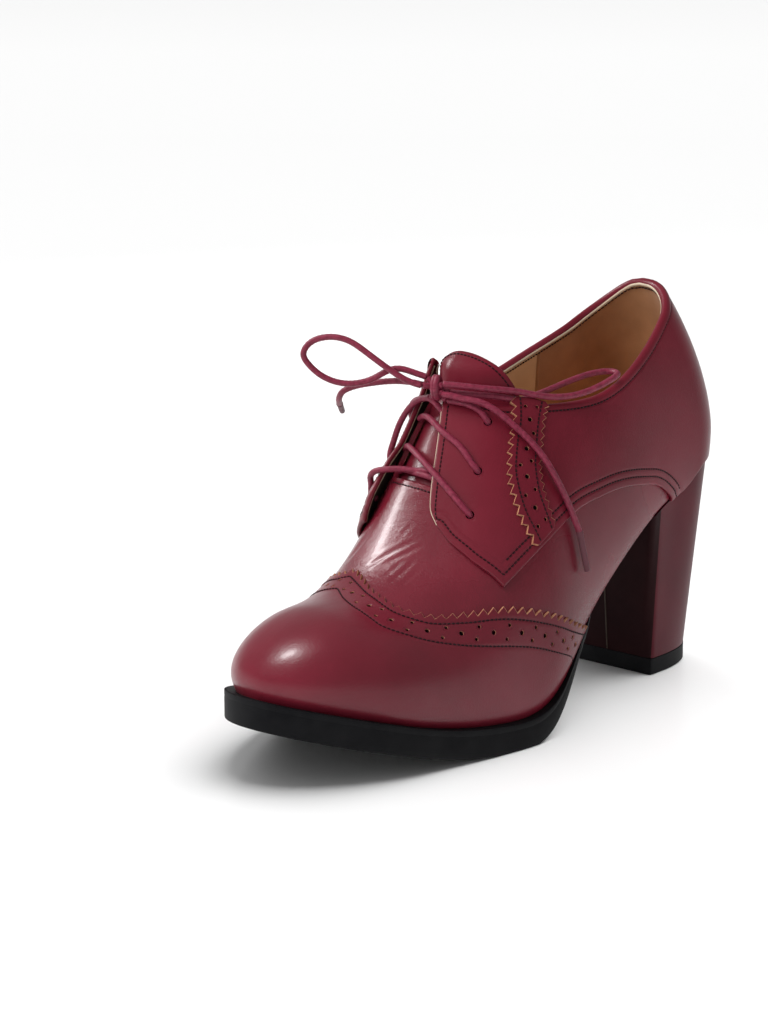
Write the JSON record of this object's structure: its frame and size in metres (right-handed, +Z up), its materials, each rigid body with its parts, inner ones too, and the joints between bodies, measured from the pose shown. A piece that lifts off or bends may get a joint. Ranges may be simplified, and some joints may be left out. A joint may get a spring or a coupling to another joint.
{
  "type": "heeled lace-up shoe",
  "caption": "Left heeled lace-up leather shoe: almond toe, pinked and punched panels, pointed lace facings tied in a bow, covered block heel, open collar for the foot.",
  "frame": {"origin": "on the floor under the middle of the shoe's box, measured without the free lace", "axes": "+Z up from the floor, +Y from the toe back to the heel, +X to the outer (lateral) side of the left foot"},
  "size_m": [0.1154, 0.243, 0.155],
  "materials": {
    "leather_upper": "glossy burgundy",
    "heel_cover": "satin dark burgundy",
    "sole_rubber": "satin black",
    "lining": "matte tan",
    "lace": "waxed round braid",
    "aglet": "gloss"
  },
  "bodies": {
    "root": {"outsole": "sole_rubber", "heel_lift": "sole_rubber", "heel": "heel_cover", "insole": "lining", "upper": "leather_upper", "tongue": "leather_upper", "facing_lateral": "leather_upper", "facing_medial": "leather_upper", "lace_top_lateral": "lace", "lace_top_medial": "lace", "lace_bar": "lace", "lace_crossing_1": "lace", "lace_crossing_2": "lace", "lace_knot": "lace", "lace_loop_lateral": "lace", "lace_loop_medial": "lace", "lace_end_lateral": "lace", "lace_end_medial": "lace", "aglet_lateral": "aglet", "aglet_medial": "aglet"}
  },
  "joints": []
}
